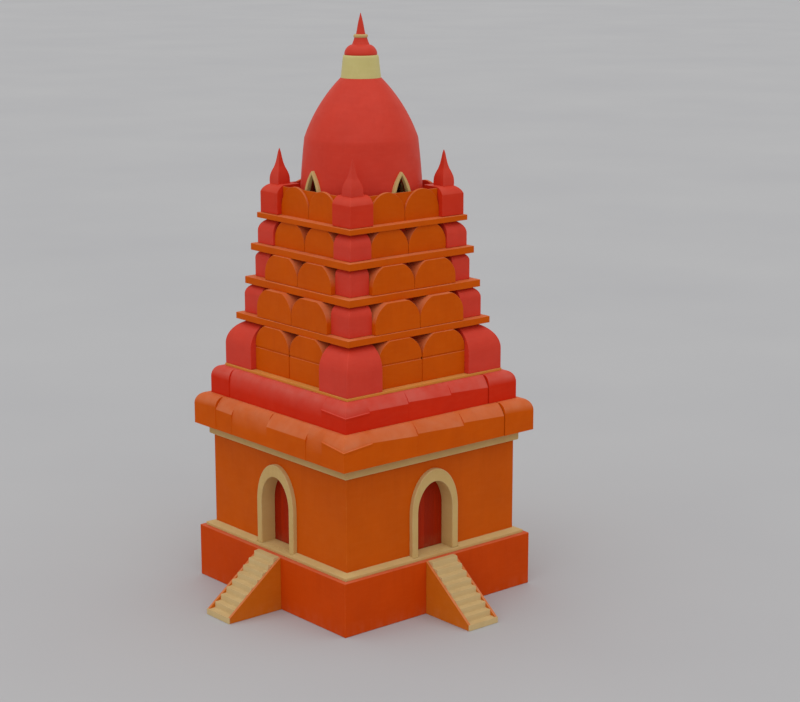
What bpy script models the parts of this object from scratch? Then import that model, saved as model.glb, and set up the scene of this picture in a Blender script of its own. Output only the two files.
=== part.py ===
"""Hindu temple: a square shrine on a high plinth under a stepped tower with a dome.

Metres, +Z up. The origin is the centre of the plinth's underside. The front is -Y,
and all four sides are alike, each with a stair and a doorway.
"""

import math

import bmesh
import bpy
from mathutils import Matrix, Vector

# Heights of the main levels
PLINTH_TOP = 1.80
FLOOR_TOP = 1.91
WALL_TOP = 5.07
COURSE_TOP = 5.43
ORANGE_CORNICE_TOP = 6.51
RED_CORNICE_TOP = 7.45
TOWER_FOOT = 7.54
TERRACE_TOP = 12.70

# Half widths of the square pieces, from the centre line to the face
PLINTH_HALF = 4.00
SKIRT_HALF = 3.85
WALL_HALF = 3.60
ROOM_HALF = 3.20
COURSE_HALF = 3.72
ORANGE_CORNICE_HALF = 4.07
RED_CORNICE_HALF = 3.65
THIN_SLAB_HALF = 3.30

JOINT = 0.0003  # bedding gap between pieces that touch

# Doorways
DOOR_HALF = 0.74
DOOR_SPRING = 3.33
DOOR_RISE = 1.00
SURROUND_BAND = 0.25
SURROUND_CROWN = 0.42
SURROUND_FACE = 3.75
LEAF_HALF = 0.81
LEAF_THICK = 0.05
LEAF_TOP = 4.42
LEAF_GAP = 0.01
PIVOT_INSET = 0.015  # pivot's axis to the hinge edge of the leaf
PIVOT_RADIUS = 0.012

# Stairs
STEPS = 9
STAIR_RUN = 2.06
STAIR_HALF = 0.625
CHEEK_THICK = 0.11
STRINGER_BED = 0.05  # thickness of the slab that joins the two cheeks below the treads
FIRST_RISER_LIP = 0.04

# Tower stages: (foot, slab underside, slab top, slab half, block half, block inner edge,
# block round-over, panel face, panel back)
STAGES = (
    (7.54, 9.08, 9.31, 3.01, 3.28, 1.84, 0.86, 3.07, 2.42),
    (9.31, 10.29, 10.54, 2.78, 2.80, 1.87, 0.36, 2.97, 2.30),
    (10.54, 11.42, 11.66, 2.63, 2.53, 1.76, 0.26, 2.70, 2.05),
    (11.66, 12.51, 12.70, 2.47, 2.46, 1.60, 0.44, 2.39, 1.95),
)
LINTEL = 0.10  # course that ties a stage's arched panels together, under the slab
ARCH_RISE = 0.75  # from a panel's shoulder to the top of its arch
ARCH_BEHIND_SLAB = 0.09  # the part of that rise which the slab above cuts off
SEAM = 0.02  # between the two panels of a side
GROOVE = 0.05  # lines cut into the lowest panels
GROOVE_DEPTH = 0.03
GROOVE_HEIGHT = 8.33
CORE_WALL = 0.45

# Terrace, parapet and corner pinnacles
PARAPET_FACE = 2.21
PARAPET_BACK = 2.10
PARAPET_TOP = 13.68
BACKING_FACE = 2.14  # plain wall behind the arched tablets of the parapet
BACKING_BACK = 2.11
BACKING_TOP = 13.62
PINNACLE_HALF = 2.38
PINNACLE_INNER = 1.45
PINNACLE_ROUND = 0.27
PINNACLE_BLOCK_TOP = 13.66
PINNACLE_TIP = 14.82

# Dome and the ornament on its crown
DOME_FOOT_R = 2.05
DOME_WAIST = (1.865, 15.20)  # radius and height where the wall turns into the crown
DOME_CROWN_R = 0.66
DOME_CROWN_Z = 17.14
DOME_SHELL = 0.25
TOP_OF_TEMPLE = 19.21

ROUND = 64  # sides of a round piece

VERMILION = (0.390, 0.038, 0.005, 1)
ORANGE = (0.392, 0.065, 0.005, 1)
RED = (0.430, 0.030, 0.016, 1)
CREAM = (0.455, 0.305, 0.130, 1)
TAN = (0.450, 0.115, 0.026, 1)
MAROON = (0.188, 0.012, 0.003, 1)
PALE_LIME = (0.445, 0.392, 0.142, 1)


def material(name, colour, roughness):
    made = bpy.data.materials.new(name)
    made.use_nodes = True
    shader = made.node_tree.nodes["Principled BSDF"]
    shader.inputs["Base Color"].default_value = colour
    shader.inputs["Roughness"].default_value = roughness
    shader.inputs["Metallic"].default_value = 0.0
    return made


def solid(name, points, faces, colour, roughness=0.6, turn=0.0):
    """A closed mesh object, turned about the temple's centre line by a number of degrees."""
    mesh = bpy.data.meshes.new(name)
    build = bmesh.new()
    corners = [build.verts.new(point) for point in points]
    for face in faces:
        build.faces.new([corners[i] for i in face])
    spin = Matrix.Rotation(math.radians(turn), 3, "Z")
    bmesh.ops.rotate(build, verts=build.verts, cent=(0, 0, 0), matrix=spin)
    bmesh.ops.recalc_face_normals(build, faces=build.faces)
    build.to_mesh(mesh)
    build.free()
    made = bpy.data.objects.new(name, mesh)
    bpy.context.scene.collection.objects.link(made)
    if colour:
        mesh.materials.append(material(name, colour, roughness))
    else:
        made.hide_render = True
        made.display_type = "WIRE"
    return made


def combine(target, other, operation):
    """Joins a helper to the target, or cuts it away."""
    modifier = target.modifiers.new(operation.lower() + " " + other.name, "BOOLEAN")
    modifier.operation = operation
    modifier.solver = "EXACT"
    modifier.object = other
    return target


def extrude(outline, near, far):
    """Points and faces of an outline in X and Z, drawn out along Y from near to far."""
    count = len(outline)
    points = [(x, y, z) for y in (near, far) for x, z in outline]
    faces = [tuple(range(count)), tuple(range(2 * count - 1, count - 1, -1))]
    faces += [(i, (i + 1) % count, count + (i + 1) % count, count + i) for i in range(count)]
    return points, faces


def box(x0, x1, y0, y1, z0, z1):
    return extrude([(x0, z0), (x1, z0), (x1, z1), (x0, z1)], y0, y1)


def loft(rings, closed=False):
    """Points and faces through rings of equal length. A closed loft meets its own start."""
    count = len(rings[0])
    points = [point for ring in rings for point in ring]
    spans = len(rings) if closed else len(rings) - 1
    faces = []
    for level in range(spans):
        low, high = level * count, (level + 1) % len(rings) * count
        faces += [(low + i, low + (i + 1) % count, high + (i + 1) % count, high + i) for i in range(count)]
    if not closed:
        faces += [tuple(range(count)), tuple(range(len(points) - count, len(points)))]
    return points, faces


def square(half, z):
    return [(half, -half, z), (half, half, z), (-half, half, z), (-half, -half, z)]


def square_stack(profile, closed=False):
    """A square piece from its profile of half widths and heights. A closed profile is a frame."""
    return loft([square(half, z) for half, z in profile], closed)


def plate(half, z0, z1):
    return square_stack([(half, z0), (half, z1)])


def circle(radius, z, sides=ROUND):
    turns = [math.tau * (i + 0.5) / sides for i in range(sides)]
    return [(radius * math.cos(t), radius * math.sin(t), z) for t in turns]


def arc_points(start, middle, end, count):
    """Points of the circular arc through three points, ends included."""
    (ax, ay), (bx, by), (cx, cy) = start, middle, end
    d = 2 * (ax * (by - cy) + bx * (cy - ay) + cx * (ay - by))
    a2, b2, c2 = ax * ax + ay * ay, bx * bx + by * by, cx * cx + cy * cy
    ux = (a2 * (by - cy) + b2 * (cy - ay) + c2 * (ay - by)) / d
    uy = (a2 * (cx - bx) + b2 * (ax - cx) + c2 * (bx - ax)) / d
    radius = math.hypot(ax - ux, ay - uy)
    first, last = math.atan2(ay - uy, ax - ux), math.atan2(cy - uy, cx - ux)
    last += math.tau * round((first - last) / math.tau)
    turns = [first + (last - first) * i / (count - 1) for i in range(count)]
    return [(ux + radius * math.cos(t), uy + radius * math.sin(t)) for t in turns]


def quarter_round(half, radius, top, count=7, rise=None):
    """The last stretch of a profile: a quarter of a circle or ellipse from the face up to the top."""
    rise = rise or radius
    turns = [math.pi / 2 * i / (count - 1) for i in range(count)]
    return [(half - radius + radius * math.cos(t), top - rise + rise * math.sin(t)) for t in turns]


def smooth(made, angle=35):
    """Shades a round piece smooth, and keeps its real edges sharp."""
    for polygon in made.data.polygons:
        polygon.use_smooth = True
    made.data.set_sharp_from_angle(angle=math.radians(angle))
    return made


def clear_scene():
    for thing in list(bpy.data.objects):
        bpy.data.objects.remove(thing, do_unlink=True)


SIDES = (("front", 0), ("right", 90), ("back", 180), ("left", 270))
CORNERS = (("front_right", 0), ("back_right", 90), ("back_left", 180), ("front_left", 270))


def plinth_and_floor():
    solid("plinth", *plate(PLINTH_HALF, 0, PLINTH_TOP), VERMILION)
    foot = PLINTH_TOP + JOINT
    solid("floor", *plate(WALL_HALF, foot, FLOOR_TOP), CREAM, 0.7)
    inner = WALL_HALF + JOINT
    edge, slope = FLOOR_TOP - 0.01, FLOOR_TOP + 0.07
    weathered = [(inner, foot), (SKIRT_HALF, foot), (SKIRT_HALF, edge), (inner, slope)]
    trim = solid("plinth_trim", *square_stack(weathered, closed=True), CREAM, 0.7)
    reach = DOOR_HALF + SURROUND_BAND + 0.02
    for turn in (0, 90):
        notch = box(-reach, reach, -5, 5, FLOOR_TOP, FLOOR_TOP + 1)
        combine(trim, solid(f"doorway_notch_{turn}", *notch, None, turn=turn), "DIFFERENCE")


def arch_outline(half, rise, spring, foot, count=25):
    """A doorway's outline: upright sides under half an ellipse."""
    turns = [math.pi * i / (count - 1) for i in range(count)]
    crown = [(half * math.cos(t), spring + rise * math.sin(t)) for t in turns]
    return [(half, foot), *crown, (-half, foot)]


def walls():
    """Corner piers up to the arches' springing, and above it one ring of wall over the doorways."""
    foot = FLOOR_TOP + JOINT
    jamb = DOOR_HALF + SURROUND_BAND + JOINT
    for name, turn in CORNERS:
        outline = [(jamb, -WALL_HALF), (WALL_HALF, -WALL_HALF), (WALL_HALF, -jamb), (ROOM_HALF, -jamb),
                   (ROOM_HALF, -ROOM_HALF), (jamb, -ROOM_HALF)]
        rings = [[(x, y, z) for x, y in outline] for z in (foot, DOOR_SPRING)]
        solid(f"wall_pier_{name}", *loft(rings), ORANGE, turn=turn)
    low = DOOR_SPRING + JOINT
    opening = arch_outline(jamb, DOOR_RISE + SURROUND_CROWN + JOINT, DOOR_SPRING, low - 1)
    ring = [(ROOM_HALF, low), (WALL_HALF, low), (WALL_HALF, WALL_TOP), (ROOM_HALF, WALL_TOP)]
    upper = solid("upper_wall", *square_stack(ring, closed=True), ORANGE)
    for name, turn in SIDES:
        arch = extrude(opening, -WALL_HALF - 1, -ROOM_HALF + 1)
        combine(upper, solid(f"arch_cutter_{name}", *arch, None, turn=turn), "DIFFERENCE")


def doorways():
    """A moulded surround through the full depth of each wall, and a door leaf behind it."""
    foot = FLOOR_TOP + JOINT
    outer = arch_outline(DOOR_HALF + SURROUND_BAND, DOOR_RISE + SURROUND_CROWN, DOOR_SPRING, foot)
    inner = arch_outline(DOOR_HALF, DOOR_RISE, DOOR_SPRING, foot)
    leaf_back = ROOM_HALF - LEAF_GAP - LEAF_THICK
    for name, turn in SIDES:
        surround = extrude(outer + inner[::-1], -SURROUND_FACE, -ROOM_HALF)
        solid(f"door_surround_{name}", *surround, CREAM, 0.7, turn)
        leaf_front = -ROOM_HALF + LEAF_GAP
        points, faces = box(-LEAF_HALF, LEAF_HALF, leaf_front, -leaf_back, FLOOR_TOP + LEAF_GAP, LEAF_TOP)
        hinge = Vector((-LEAF_HALF + PIVOT_INSET, -leaf_back - LEAF_THICK / 2, 0))
        leaf = solid(f"door_leaf_{name}", [Vector(p) - hinge for p in points], faces, MAROON, 0.5)
        pivot = loft([circle(PIVOT_RADIUS, z, 16) for z in (foot, foot + 3 * LEAF_GAP)])
        pivot = solid(f"door_pivot_{name}", *pivot, None)
        for made in (leaf, pivot):
            made.matrix_world = Matrix.Rotation(math.radians(turn), 4, "Z") @ Matrix.Translation(hinge)
        combine(leaf, pivot, "UNION")


def stairs():
    """Nine steps between sloping cheeks, on each side of the plinth."""
    wall = PLINTH_HALF + JOINT
    rise, tread = PLINTH_TOP / STEPS, STAIR_RUN / STEPS
    inside = STAIR_HALF - CHEEK_THICK
    slope = [(wall, 0), (wall + STAIR_RUN, 0), (wall + STAIR_RUN, rise), (wall, PLINTH_TOP)]
    for name, turn in SIDES:
        rings = [[(x, -out, z) for out, z in slope] for x in (-STAIR_HALF, STAIR_HALF)]
        cheeks = solid(f"stair_cheeks_{name}", *loft(rings), ORANGE, turn=turn)
        trough = box(-inside, inside, -wall - STAIR_RUN - 1, -PLINTH_HALF + 1, STRINGER_BED, PLINTH_TOP + 1)
        combine(cheeks, solid(f"stair_trough_{name}", *trough, None, turn=turn), "DIFFERENCE")
        outline = [(wall, STRINGER_BED + JOINT)]
        for step in range(STEPS):
            nosing = wall + STAIR_RUN - step * tread
            under = step * rise if step else STRINGER_BED + JOINT
            outline += [(nosing, under), (nosing, (step + 1) * rise)]
        outline.append((wall, PLINTH_TOP))
        side = inside - JOINT
        rings = [[(x, -out, z) for out, z in outline] for x in (-side, side)]
        steps = solid(f"stair_steps_{name}", *loft(rings), CREAM, 0.7, turn)
        near = wall + STAIR_RUN
        riser = box(-STAIR_HALF, STAIR_HALF, -near - FIRST_RISER_LIP, -near - JOINT, 0, rise)
        lip = solid(f"first_riser_{name}", *riser, None, turn=turn)
        tie = box(-side, side, -near - FIRST_RISER_LIP / 2, -near + tread / 2, STRINGER_BED + JOINT, rise)
        tie = solid(f"riser_tie_{name}", *tie, None, turn=turn)
        combine(steps, tie, "UNION")
        combine(steps, lip, "UNION")


def cornices():
    solid("string_course", *plate(COURSE_HALF, WALL_TOP + JOINT, COURSE_TOP), CREAM, 0.7)
    foot = COURSE_TOP + JOINT
    profile = [(3.0, foot), (ORANGE_CORNICE_HALF, foot),
               *quarter_round(ORANGE_CORNICE_HALF, 0.32, ORANGE_CORNICE_TOP, rise=0.41),
               (3.0, ORANGE_CORNICE_TOP)]
    solid("orange_cornice", *square_stack(profile, closed=True), ORANGE)
    foot = ORANGE_CORNICE_TOP + JOINT
    profile = [(2.6, foot), (RED_CORNICE_HALF, foot),
               *quarter_round(RED_CORNICE_HALF, 0.26, RED_CORNICE_TOP, rise=0.34), (2.6, RED_CORNICE_TOP)]
    solid("red_cornice", *square_stack(profile, closed=True), RED)
    solid("tower_base_slab", *plate(THIN_SLAB_HALF, RED_CORNICE_TOP + JOINT, TOWER_FOOT), TAN)


def arched_pair(reach, foot, top, highest):
    """The outline of two round-topped panels side by side, cut off level at the highest point."""
    half = (reach - SEAM / 2) / 2
    centre = reach - half
    end = math.asin(min(1, (highest - top + ARCH_RISE) / ARCH_RISE))
    turns = [end * i / 6 for i in range(7)]
    turns += [math.pi - turn for turn in reversed(turns)]
    panel = [(centre + half * math.cos(t), top - ARCH_RISE + ARCH_RISE * math.sin(t)) for t in turns]
    if highest >= top:
        panel.pop(7)
    mirrored = [(-x, z) for x, z in reversed(panel)]
    return [(reach, foot), *panel, *mirrored, (-reach, foot)]


def tower_stages():
    """Each stage: a red core with corner blocks, orange arched panels and a projecting slab."""
    for number, stage in enumerate(STAGES, 1):
        foot, under, top, slab_half, block, inner, radius, face, back = stage
        low = foot + JOINT
        high = under - LINTEL - JOINT
        core = back - 0.01
        profile = [(block, low)]
        profile += [(half, z) for half, z in quarter_round(block, radius, under, 13) if z < high]
        last = block - radius + math.sqrt(radius**2 - (high - under + radius) ** 2)
        profile.append((last, high))
        rings = []
        for half, z in profile:
            corner = [(core, inner), (half, inner), (half, half), (inner, half), (inner, core)]
            ring = []
            for quarter in range(4):
                spin = Matrix.Rotation(math.pi / 2 * quarter, 3, "Z")
                ring += [spin @ Vector((x, y, z)) for x, y in corner]
            rings.append(ring)
        made = solid(f"stage_{number}_corner_blocks", *loft(rings), RED)
        hollow = solid(f"stage_{number}_hollow", *plate(core - CORE_WALL, foot - 1, under + 1), None)
        combine(made, hollow, "DIFFERENCE")

        reach = inner - 0.0015
        pair = arched_pair(reach, low, under + ARCH_BEHIND_SLAB, under - JOINT)
        arches = solid(f"stage_{number}_arched_panels", *extrude(pair, -face, -back), ORANGE)
        for turn in (90, 180, 270):
            other = solid(f"stage_{number}_arches_{turn}", *extrude(pair, -face, -back), None, turn=turn)
            combine(arches, other, "UNION")
        lintel = solid(f"stage_{number}_lintel", *plate(back + 0.15, under - LINTEL, under - 0.01), None)
        combine(arches, lintel, "UNION")
        if number == 1:
            cut_grooves(arches, reach, face)
        if number < len(STAGES):
            solid(f"slab_{number}", *plate(slab_half, under + JOINT / 2, top), ORANGE)


def cut_grooves(arches, reach, face):
    """A level line across the lowest panels and an upright one between them, on each side."""
    inside = -face + GROOVE_DEPTH
    side = GROOVE / 2
    level = box(-reach - 0.1, reach + 0.1, -face - 1, inside, GROOVE_HEIGHT - side, GROOVE_HEIGHT + side)
    upright = box(-side, side, -face - 1, inside - 0.002, TOWER_FOOT - 1, TERRACE_TOP)
    for name, turn in SIDES:
        combine(arches, solid(f"level_groove_{name}", *level, None, turn=turn), "DIFFERENCE")
        combine(arches, solid(f"upright_groove_{name}", *upright, None, turn=turn), "DIFFERENCE")


def terrace():
    """The top slab, the arched parapet on it and a pinnacle at each corner."""
    under, top, half = STAGES[-1][1], STAGES[-1][2], STAGES[-1][3]
    made = solid("terrace_with_parapet", *plate(half, under + JOINT / 2, top), ORANGE)
    reach = PINNACLE_INNER - 0.0015
    pair = arched_pair(reach, top - 0.05, PARAPET_TOP, PARAPET_TOP)
    for name, turn in SIDES:
        panels = solid(f"parapet_{name}", *extrude(pair, -PARAPET_FACE, -PARAPET_BACK), None, turn=turn)
        combine(made, panels, "UNION")
        end = reach - 0.01
        backing = box(-end, end, -BACKING_FACE, -BACKING_BACK, top - 0.06, BACKING_TOP)
        combine(made, solid(f"backing_{name}", *backing, None, turn=turn), "UNION")
    profile = [(PINNACLE_HALF, top + JOINT),
               *quarter_round(PINNACLE_HALF, PINNACLE_ROUND, PINNACLE_BLOCK_TOP, 9)]
    middle = (PINNACLE_HALF + PINNACLE_INNER) / 2
    spade = [(0.236, -0.05), (0.240, 0.10), (0.230, 0.24), (0.205, 0.35), (0.178, 0.43), (0.127, 0.56),
             (0.086, 0.72), (0.055, 0.90), (0.030, 1.06), (0.004, PINNACLE_TIP - PINNACLE_BLOCK_TOP)]
    for name, turn in CORNERS:
        rings = [corner_ring(PINNACLE_INNER, reach, z) for reach, z in profile]
        block = solid(f"pinnacle_{name}", *loft(rings), RED, turn=turn)
        rings = [corner_ring(middle - half, middle + half, PINNACLE_BLOCK_TOP + z) for half, z in spade]
        combine(block, solid(f"spade_{name}", *loft(rings), None, turn=turn), "UNION")


def corner_ring(inner, outer, z):
    """A square on the diagonal of the front right corner, between two distances from the centre lines."""
    return [(inner, -outer, z), (outer, -outer, z), (outer, -inner, z), (inner, -inner, z)]


def dome_profile(inset, foot):
    """Radius and height of the dome's wall, from the foot to the crown."""
    low = [(r - inset, z) for r, z in arc_points((DOME_FOOT_R, TERRACE_TOP), (1.980, 14.0), DOME_WAIST, 7)]
    waist_r, waist_z = DOME_WAIST
    high = arc_points((waist_r - inset, waist_z), (1.464 - 0.9 * inset, 16.08 - 0.2 * inset),
                      (DOME_CROWN_R - 0.55 * inset, DOME_CROWN_Z - 0.85 * inset), 14)
    low[0] = (low[0][0], foot)
    return low + high[1:]


def dome():
    outer = dome_profile(0, TERRACE_TOP + JOINT)
    inner = dome_profile(DOME_SHELL, TERRACE_TOP + JOINT)
    shell = solid("dome", *loft([circle(r, z) for r, z in outer]), RED)
    void = [circle(r, z) for r, z in inner]
    void[0] = circle(inner[0][0], TERRACE_TOP - 1)
    combine(shell, solid("dome_void", *loft(void), None), "DIFFERENCE")
    for name, turn in SIDES:
        niche = gothic(0.42 + JOINT, 1.548, 13.2, TERRACE_TOP - 1)
        cutter = solid(f"window_cutter_{name}", *extrude(niche, -3, -1), None, turn=turn)
        combine(shell, cutter, "DIFFERENCE")
    smooth(shell)
    foot = TERRACE_TOP + JOINT
    outline = gothic(0.42, 1.548, 13.2, foot) + gothic(0.30, 1.66, 13.2, foot)[::-1]
    for name, turn in SIDES:
        solid(f"dome_window_{name}", *extrude(outline, -2.08, -1.72), CREAM, 0.7, turn)


def gothic(half, radius, spring, foot, count=9):
    """A pointed arch: upright sides and two arcs that meet at the top."""
    apex = math.sqrt(radius**2 - (radius - half) ** 2)
    last = math.asin(apex / radius)
    side = []
    for i in range(count):
        turn = last * i / (count - 1)
        side.append((half - radius + radius * math.cos(turn), spring + radius * math.sin(turn)))
    side[-1] = (0, spring + apex)
    return [(half, foot), *side, *[(-x, z) for x, z in reversed(side[:-1])], (-half, foot)]


def crown_ornament():
    """The neck, cap, ring and spire on top of the dome."""
    neck_top = 17.87
    neck = [(0.655, DOME_CROWN_Z + JOINT), (0.61, 17.55), (0.585, 17.78), (0.555, neck_top)]
    smooth(solid("neck_band", *loft([circle(r, z) for r, z in neck]), PALE_LIME))
    cap = [(0.53, neck_top + JOINT), *arc_points((0.535, 17.92), (0.47, 18.08), (0.32, 18.19), 7),
           (0.283, 18.20), (0.205, 18.42)]
    smooth(solid("crown_cap", *loft([circle(r, z) for r, z in cap]), RED))
    ring = [(0.215, 18.42 + JOINT), (0.235, 18.47), (0.19, 18.53)]
    smooth(solid("crown_ring", *loft([circle(r, z) for r, z in ring]), CREAM, 0.7), 60)
    spire = [(0.15, 18.53 + JOINT), (0.13, 18.64), (0.075, 18.93), (0.006, TOP_OF_TEMPLE)]
    smooth(solid("crown_spire", *loft([circle(r, z) for r, z in spire]), RED))


clear_scene()
plinth_and_floor()
walls()
doorways()
stairs()
cornices()
tower_stages()
terrace()
dome()
crown_ornament()
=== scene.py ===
"""Looks of the Hindu temple: limewashed masonry, planked doors and a plain studio round them."""

import math
import random

import bmesh
import bpy
from mathutils import Matrix, Vector


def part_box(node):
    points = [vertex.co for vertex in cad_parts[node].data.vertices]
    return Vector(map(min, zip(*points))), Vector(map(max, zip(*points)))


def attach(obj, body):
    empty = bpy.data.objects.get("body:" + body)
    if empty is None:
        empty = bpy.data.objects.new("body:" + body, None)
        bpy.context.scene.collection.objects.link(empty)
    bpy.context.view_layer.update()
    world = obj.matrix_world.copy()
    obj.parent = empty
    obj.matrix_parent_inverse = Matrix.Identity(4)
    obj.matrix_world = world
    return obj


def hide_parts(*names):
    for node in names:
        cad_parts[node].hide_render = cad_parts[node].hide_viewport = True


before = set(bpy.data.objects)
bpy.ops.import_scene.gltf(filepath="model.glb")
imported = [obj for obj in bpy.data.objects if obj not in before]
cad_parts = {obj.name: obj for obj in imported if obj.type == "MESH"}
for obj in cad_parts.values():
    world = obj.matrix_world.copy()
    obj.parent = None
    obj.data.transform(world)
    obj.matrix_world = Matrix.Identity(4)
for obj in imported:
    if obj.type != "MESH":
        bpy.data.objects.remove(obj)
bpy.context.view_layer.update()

CHANCE = random.Random(11)

ARRIS_BEND = 24  # degrees between two faces from which their edge is an arris
SMOOTH_BEND = 50  # degrees up to which shading runs on over an edge
DOME_SMOOTH_BEND = 35  # the same round the windows that are cut into the dome

TURNS = {"front": 0, "right": 90, "back": 180, "left": 270}
CORNERS = {"front_right": 0, "back_right": 90, "back_left": 180, "front_left": 270}


def top_of(node):
    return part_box(node)[1].z


def foot_of(node):
    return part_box(node)[0].z


def half_of(node):
    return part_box(node)[1].x


# Forms

def loft(rows, closed=False):
    """Skins rows of points, each one a closed outline. A closed loft ends where it began."""
    form = bmesh.new()
    rows = [[form.verts.new(point) for point in row] for row in rows]
    for low, high in zip(rows, rows[1:] + (rows[:1] if closed else [])):
        for i in range(len(low)):
            form.faces.new((low[i - 1], low[i], high[i], high[i - 1]))
    if not closed:
        form.faces.new(rows[0])
        form.faces.new(rows[-1])
    return form


def prism(outline, near, far):
    """Draws an upright outline in X and Z out along Y."""
    return loft([[(x, y, z) for x, z in outline] for y in (near, far)])


def block(x0, x1, y0, y1, z0, z1):
    return prism([(x0, z0), (x1, z0), (x1, z1), (x0, z1)], y0, y1)


def square(half, z):
    return [(half, -half, z), (half, half, z), (-half, half, z), (-half, -half, z)]


def square_course(profile, closed=False):
    """A square course from its profile of half widths and heights."""
    return loft([square(half, z) for half, z in profile], closed)


def lathe(profile, sides=96, closed=False):
    rows = []
    for radius, z in profile:
        turns = [math.tau * (i + 0.5) / sides for i in range(sides)]
        rows.append([(radius * math.cos(t), radius * math.sin(t), z) for t in turns])
    return loft(rows, closed)


def rounding(bulge, count=14):
    """Shares of the way back and up along a rounded edge: 0 is a flat bevel and 1 a quarter circle."""
    steps = []
    for i in range(count + 1):
        t = math.pi / 2 * i / count
        flat = (1 - bulge) * i / count
        steps.append((flat + bulge * (1 - math.cos(t)), flat + bulge * math.sin(t)))
    return steps


def flowing(points, steps=6):
    """A smooth line through profile points."""
    points = [Vector(point) for point in points]
    ends = [2 * points[0] - points[1], *points, 2 * points[-1] - points[-2]]
    line = []
    for a, b, c, d in zip(ends, ends[1:], ends[2:], ends[3:]):
        for i in range(steps):
            t = i / steps
            spot = 2 * b + (c - a) * t + (2 * a - 5 * b + 4 * c - d) * t**2 + (3 * b - a - 3 * c + d) * t**3
            line.append(tuple(spot / 2))
    return [*line, tuple(points[-1])]


def turned(form, degrees):
    spin = Matrix.Rotation(math.radians(degrees), 3, "Z")
    bmesh.ops.rotate(form, verts=form.verts, cent=(0, 0, 0), matrix=spin)
    return form


def soften(form, width, segments=2, only=None):
    """Rounds the arrises to a width and marks the rounded strips, which wear first."""
    bmesh.ops.recalc_face_normals(form, faces=form.faces)
    bend = math.radians(ARRIS_BEND)
    arrises = [edge for edge in form.edges if edge.is_convex and edge.calc_face_angle(0) > bend]
    if only:
        arrises = [edge for edge in arrises if only(*[vert.co for vert in edge.verts])]
    made = bmesh.ops.bevel(form, geom=arrises, offset=width, offset_type="OFFSET", segments=segments,
                           profile=0.5, affect="EDGES", clamp_overlap=False)
    strip = set(made["faces"])
    worn = form.verts.layers.float.new("worn_edge")
    for vert in form.verts:
        if vert.link_faces and all(face in strip for face in vert.link_faces):
            vert[worn] = 1.0
    return form


def lay(form, stone):
    """Adds one stone to a piece, with a tone of its own that the finish reads."""
    tone = stone.faces.layers.float.new("stone_tone")
    shade = CHANCE.random()
    for face in stone.faces:
        face[tone] = shade
    mesh = bpy.data.meshes.new("stone")
    stone.to_mesh(mesh)
    stone.free()
    form.from_mesh(mesh)
    bpy.data.meshes.remove(mesh)
    return form


def show(name, form, look, nodes, body="temple", weighted=True):
    """Makes a shown piece of a form, and hides the solids that it stands for."""
    bmesh.ops.recalc_face_normals(form, faces=form.faces)
    mesh = bpy.data.meshes.new(name)
    form.to_mesh(mesh)
    form.free()
    for polygon in mesh.polygons:
        polygon.use_smooth = True
    mesh.set_sharp_from_angle(angle=math.radians(SMOOTH_BEND))
    mesh.materials.append(look)
    piece = bpy.data.objects.new(name, mesh)
    bpy.context.scene.collection.objects.link(piece)
    if weighted:
        piece.modifiers.new("even shading", "WEIGHTED_NORMAL").keep_sharp = True
    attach(piece, body)
    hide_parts(*nodes)
    return piece


# Finishes

def linear(code):
    """An sRGB hex colour as the linear values that a shader takes."""
    parts = [int(code[i:i + 2], 16) / 255 for i in (1, 3, 5)]
    return [p / 12.92 if p <= 0.04045 else ((p + 0.055) / 1.055) ** 2.4 for p in parts] + [1.0]


def add(tree, kind, inputs=None, **settings):
    """Adds a node with its settings, and links or sets what its inputs name."""
    node = tree.nodes.new(kind)
    for name, value in settings.items():
        setattr(node, name, value)
    for key, value in (inputs or {}).items():
        if isinstance(value, bpy.types.NodeSocket):
            tree.links.new(value, node.inputs[key])
        else:
            node.inputs[key].default_value = value
    return node


def spread(tree, place, stretch, detail, low, high, strongest, seed=0.0):
    """Soft patches from 0 to the strongest, stretched by patches per metre along X, Y and Z.

    The strongest is a number, or a pattern that the patches break up.
    """
    shift = add(tree, "ShaderNodeMapping",
                {"Vector": place, "Location": (seed, seed, seed), "Scale": stretch})
    noise = add(tree, "ShaderNodeTexNoise",
                {"Vector": shift.outputs[0], "Scale": 1.0, "Detail": detail, "Roughness": 0.55})
    return add(tree, "ShaderNodeMapRange",
               {"Value": noise.outputs["Fac"], "From Min": low, "From Max": high,
                "To Max": strongest}).outputs[0]


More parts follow.
